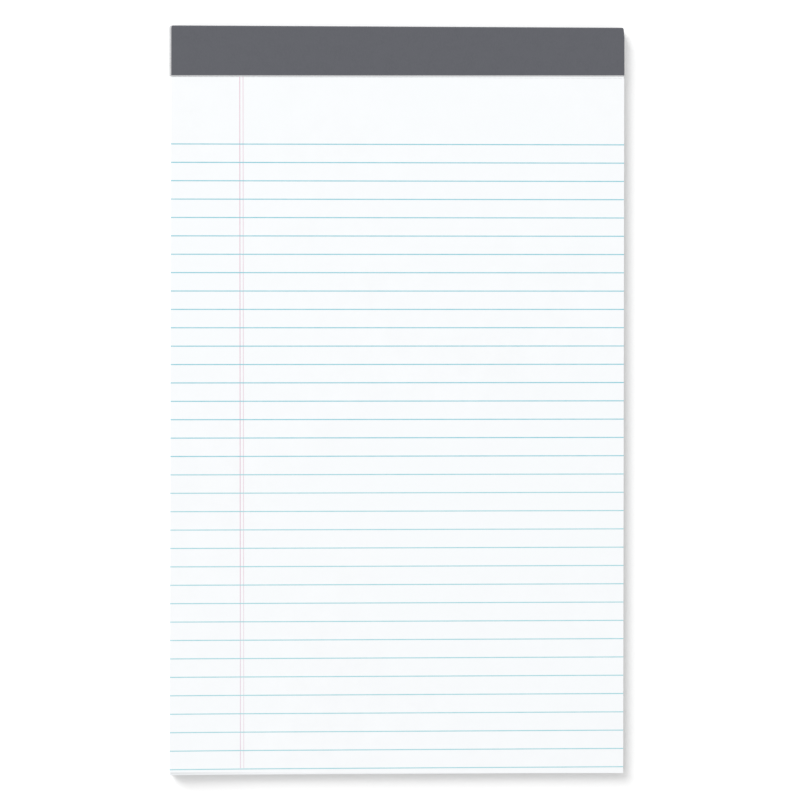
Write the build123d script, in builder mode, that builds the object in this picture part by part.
import os
from math import asin, degrees, hypot

from build123d import *

os.makedirs("parts", exist_ok=True)

# A legal size writing pad: ruled sheets on a chipboard back, stitched through the head under a folded
# strip of binding tape, with a perforated line below the tape and a lower left corner that lifts a little.
# The pad lies on its back in millimetres: +Z is up, +Y points to the taped head and +X to the right.
# The origin is under the middle of the pad with its tape, on the surface that it lies on.

# Sheets
pad_width = 215.9
pad_length = 355.6
head_corner_radius = 0.8
sheet_count = 50
sheet_thickness = 0.1

# Backing board
board_thickness = 0.8

# Binding tape, folded over the head edge
tape_thickness = 0.2
front_flap = 24.1
back_flap = 20.0
fold_radius = 0.4
overhang_left = 0.6
overhang_right = 0.3
flap_skew = 0.8
fold_draw_in = 0.4
fold_draw_length = 6.0

# Perforated line, just below the front flap
perforation_below_flap = 0.6
slit_length = 1.7
slit_width = 0.2
slit_pitch = 2.5

# Wire stitches through the stub, clinched on the back
stitch_count = 4
stitch_pitch = 54.0
stitch_from_head = 9.0
crown_length = 12.0
clinch_length = 4.5
wire_width = 0.8
wire_thickness = 0.5
wire_bend_radius = 0.6
wire_clearance = 0.05
wire_sink = 0.03

# Printed lines on the top sheet
ink_thickness = 0.03
header_space = 56.0
rule_pitch = 8.73125
rule_width = 0.45
least_foot_space = 1.5
margin_from_left = 33.0
margin_gap = 1.6
margin_width = 0.35

# Lifted corner: the sheets bend up past a slanting line from the left edge to the foot
corner_lift = 1.5
lift_along_side = 85.0
lift_along_foot = 65.0

# Heights, from the surface that the pad lies on
board_bottom = tape_thickness
board_top = board_bottom + board_thickness
block_thickness = sheet_count * sheet_thickness
page_top = board_top + block_thickness

# Edges of the pad in plan
foot_y = -(pad_length + tape_thickness) / 2
head_y = foot_y + pad_length
tape_end = (overhang_left + pad_width + overhang_right) / 2
left_x = overhang_left - tape_end
right_x = left_x + pad_width
middle_x = (left_x + right_x) / 2

# The bend line starts at bend_start on the left edge and slants down to the foot. Sections are drawn across
# it, with their own x running level towards the corner and their own y upwards.
bend_start = Vector(left_x, foot_y + lift_along_side, 0)
bend_reach = lift_along_side * lift_along_foot / hypot(lift_along_side, lift_along_foot)
towards_corner = Vector(-lift_along_side, -lift_along_foot, 0).normalized()
bend_section = Plane(origin=bend_start, x_dir=towards_corner, z_dir=towards_corner.cross(Vector(0, 0, 1)))
bend_radius = (bend_reach**2 + corner_lift**2) / (2 * corner_lift)
past_corner = 1.1
bend_angle = degrees(asin(past_corner * bend_reach / bend_radius))
past_pad = pad_width + pad_length
above_pad = page_top + 2 * corner_lift


def sheet_line(height):
    """The top sheet's line in the bend section, this much above the paper: level, then rising along the arc."""
    level = Line((-past_pad, page_top + height), (0, page_top + height))
    rising = JernArc(level @ 1, (1, 0), bend_radius - height, bend_angle)
    return level, rising


def ink_section():
    """The section across the bend of a layer of ink over the top sheet, running past the sheet's edges."""
    with BuildSketch(bend_section) as section:
        with BuildLine():
            paper_level, paper_rising = sheet_line(0)
            ink_level, ink_rising = sheet_line(ink_thickness)
            Line(paper_level @ 0, ink_level @ 0)
            Line(paper_rising @ 1, ink_rising @ 1)
        make_face()
    return section.sketch


# The outline that the sheets and the board are trimmed to, with the head corners a little blunted
with BuildSketch() as sheet_outline:
    with Locations((middle_x, (foot_y + head_y) / 2)):
        Rectangle(pad_width, pad_length)
    fillet(sheet_outline.vertices().group_by(Axis.Y)[-1], radius=head_corner_radius)

# The pages: one block with the bend section's top, trimmed to the outline, with the head's top edge pressed
# round under the fold of the tape and a perforated line through every sheet
with BuildPart() as page_block:
    with BuildSketch(bend_section):
        with BuildLine():
            top_level, top_rising = sheet_line(0)
            end_of_top = top_rising @ 1
            Polyline(
                end_of_top,
                (end_of_top.X, board_top),
                (-past_pad, board_top),
                top_level @ 0,
            )
        make_face()
    extrude(amount=past_pad, both=True)
    extrude(sheet_outline.sketch, amount=above_pad, mode=Mode.INTERSECT)
    with BuildSketch(Plane.YZ) as side_profile:
        with Locations((foot_y, board_top)):
            Rectangle(pad_length, block_thickness, align=(Align.MIN, Align.MIN))
        fillet(side_profile.vertices().group_by(Axis.X)[-1].sort_by(Axis.Y)[-1], radius=fold_radius)
        with Locations((foot_y, board_top)):
            Rectangle(lift_along_side, above_pad - board_top, align=(Align.MIN, Align.MIN))
    extrude(amount=pad_width, both=True, mode=Mode.INTERSECT)
    with BuildSketch(Plane.XY.offset(board_top)):
        with Locations((middle_x, head_y - front_flap - perforation_below_flap)):
            with GridLocations(slit_pitch, 0, int(pad_width // slit_pitch), 1):
                Rectangle(slit_length, slit_width)
    extrude(amount=block_thickness, mode=Mode.SUBTRACT)

# The chipboard back, with the head's bottom edge pressed round under the fold of the tape
with BuildPart() as backing_board:
    with BuildSketch(Plane.YZ) as board_profile:
        with Locations((foot_y, board_bottom)):
            Rectangle(pad_length, board_thickness, align=(Align.MIN, Align.MIN))
        fillet(board_profile.vertices().group_by(Axis.X)[-1].sort_by(Axis.Y)[0], radius=fold_radius)
    extrude(amount=pad_width, both=True)
    extrude(sheet_outline.sketch, amount=above_pad, mode=Mode.INTERSECT)

# The binding tape: a folded section along the head, trimmed in plan. Its ends stand a little past the sheets, its
# front edge runs a little askew, and at the right the fold draws in.
with BuildPart() as header_tape:
    with BuildSketch(Plane.YZ):
        with BuildLine():
            FilletPolyline(
                (head_y - front_flap, page_top),
                (head_y, page_top),
                (head_y, board_bottom),
                (head_y - back_flap, board_bottom),
                radius=fold_radius,
            )
            offset(amount=tape_thickness, side=Side.LEFT, closed=True)
        make_face()
    extrude(amount=pad_width, both=True)
    with BuildSketch() as tape_outline:
        with BuildLine():
            deepest_flap = max(front_flap, back_flap)
            Polyline(
                (-tape_end, head_y - deepest_flap),
                (tape_end, head_y - deepest_flap),
                (tape_end, head_y - fold_draw_length),
                (tape_end - fold_draw_in, head_y + tape_thickness),
                (-tape_end, head_y + tape_thickness),
                close=True,
            )
        make_face()
        fillet(tape_outline.vertices().group_by(Axis.Y)[-1], radius=head_corner_radius + tape_thickness)
    extrude(amount=page_top + tape_thickness, mode=Mode.INTERSECT)
    with BuildSketch(Plane.XY.offset(page_top)):
        with BuildLine():
            Polyline(
                (-tape_end, head_y - front_flap),
                (tape_end, head_y - front_flap + flap_skew),
                (tape_end, head_y - 2 * front_flap),
                (-tape_end, head_y - 2 * front_flap),
                close=True,
            )
        make_face()
    extrude(amount=tape_thickness, mode=Mode.SUBTRACT)

# Wire stitches, each with its crown let into the pages and its clinched legs into the board
stitch_plane = Plane.XZ.offset(-(head_y - stitch_from_head))
crown_z = page_top - wire_thickness / 2 - wire_sink
clinch_z = board_bottom + wire_thickness / 2 + wire_sink


def stitch_shape(clearance):
    """One stitch bent from flat wire, or the hole it needs, this much wider all round."""
    with BuildPart() as shape:
        with BuildSketch(stitch_plane):
            with BuildLine():
                FilletPolyline(
                    (-crown_length / 2 + clinch_length, clinch_z),
                    (-crown_length / 2, clinch_z),
                    (-crown_length / 2, crown_z),
                    (crown_length / 2, crown_z),
                    (crown_length / 2, clinch_z),
                    (crown_length / 2 - clinch_length, clinch_z),
                    radius=wire_bend_radius,
                )
            trace(line_width=wire_thickness + 2 * clearance)
        extrude(amount=wire_width / 2 + clearance, both=True)
    return shape.part


with BuildPart() as staples:
    with Locations((middle_x, 0)):
        with GridLocations(stitch_pitch, 0, stitch_count, 1):
            add(stitch_shape(0))

with BuildPart() as stitch_holes:
    with Locations((middle_x, 0)):
        with GridLocations(stitch_pitch, 0, stitch_count, 1):
            add(stitch_shape(wire_clearance))

with page_block:
    add(stitch_holes.part, mode=Mode.SUBTRACT)

with backing_board:
    add(stitch_holes.part, mode=Mode.SUBTRACT)

# Printed rules, from edge to edge of the sheet and as many as it has room for below the header space
rule_count = 1 + int((pad_length - header_space - least_foot_space) // rule_pitch)
ruled_length = (rule_count - 1) * rule_pitch
with BuildSketch() as rule_bars:
    with Locations((middle_x, head_y - header_space - ruled_length / 2)):
        with GridLocations(0, rule_pitch, 1, rule_count):
            Rectangle(pad_width, rule_width)

with BuildPart() as blue_rules:
    extrude(ink_section(), amount=past_pad, both=True)
    extrude(rule_bars.sketch, amount=above_pad, mode=Mode.INTERSECT)

# The pair of margin lines, from the tape to the last rule, broken where the rules cross them
margin_length = header_space + ruled_length - front_flap
with BuildPart() as margin_lines:
    extrude(ink_section(), amount=past_pad, both=True)
    with BuildSketch():
        with Locations((left_x + margin_from_left + margin_gap / 2, head_y - front_flap - margin_length / 2)):
            with GridLocations(margin_gap, 0, 2, 1):
                Rectangle(margin_width, margin_length)
        add(rule_bars.sketch, mode=Mode.SUBTRACT)
    extrude(amount=above_pad, mode=Mode.INTERSECT)

page_block.part.label = "page_block"
export_step(page_block.part, "parts/page_block.step")

backing_board.part.label = "backing_board"
export_step(backing_board.part, "parts/backing_board.step")

header_tape.part.label = "header_tape"
export_step(header_tape.part, "parts/header_tape.step")

staples.part.label = "staples"
export_step(staples.part, "parts/staples.step")

blue_rules.part.label = "blue_rules"
export_step(blue_rules.part, "parts/blue_rules.step")

margin_lines.part.label = "margin_lines"
export_step(margin_lines.part, "parts/margin_lines.step")
